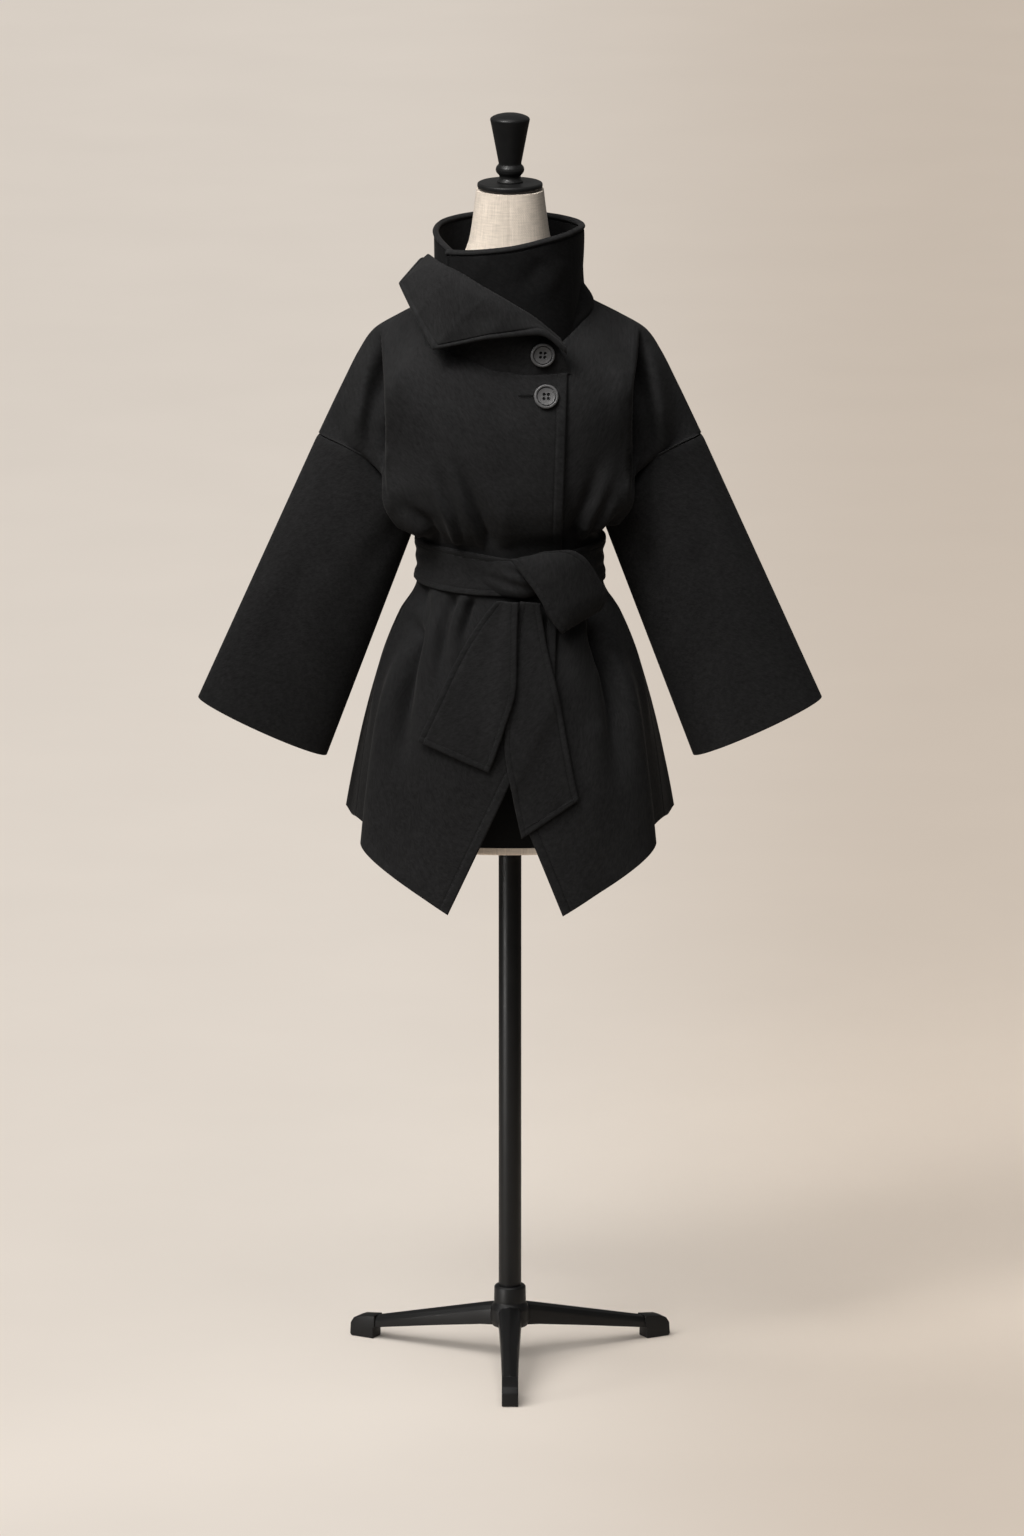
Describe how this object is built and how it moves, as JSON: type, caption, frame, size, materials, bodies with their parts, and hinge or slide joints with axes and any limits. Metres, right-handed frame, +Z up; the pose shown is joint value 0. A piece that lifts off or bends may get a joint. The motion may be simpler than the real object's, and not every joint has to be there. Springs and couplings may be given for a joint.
{
  "type": "belted coat on a dress form",
  "caption": "Short black wool wrap coat with a standing collar, wide sleeves and a tied belt, on a linen dress form with a pole and tripod stand.",
  "frame": {"origin": "middle of the part's bounding box on the floor, 47 mm in front of the stand's pole", "axes": "+Z up along the pole, -Y the way the coat faces, +X to the viewer's right and the wearer's left"},
  "size_m": [0.8742, 0.4202, 1.79],
  "materials": {
    "wool": "matte brushed wool",
    "button": "satin, dark grey",
    "linen": "matte natural linen",
    "dark_cloth": "matte black cloth",
    "lacquer": "black satin lacquer",
    "stand_metal": "black powder coat",
    "pad": "matte black"
  },
  "bodies": {
    "root": {"front_right": "wool", "front_left": "wool", "back": "wool", "sleeve_right": "wool", "sleeve_left": "wool", "collar_band": "wool", "collar_lapel": "wool", "belt_band": "wool", "belt_knot": "wool", "belt_loop": "wool", "belt_tail_left": "wool", "belt_tail_right": "wool", "button_upper": "button", "button_lower": "button", "form_bust": "linen", "form_rim": "linen", "form_trunk": "dark_cloth", "finial": "lacquer", "neck_plate": "lacquer", "pole": "stand_metal", "base": "stand_metal", "foot_front": "pad", "foot_left": "pad", "foot_right": "pad"}
  },
  "joints": []
}
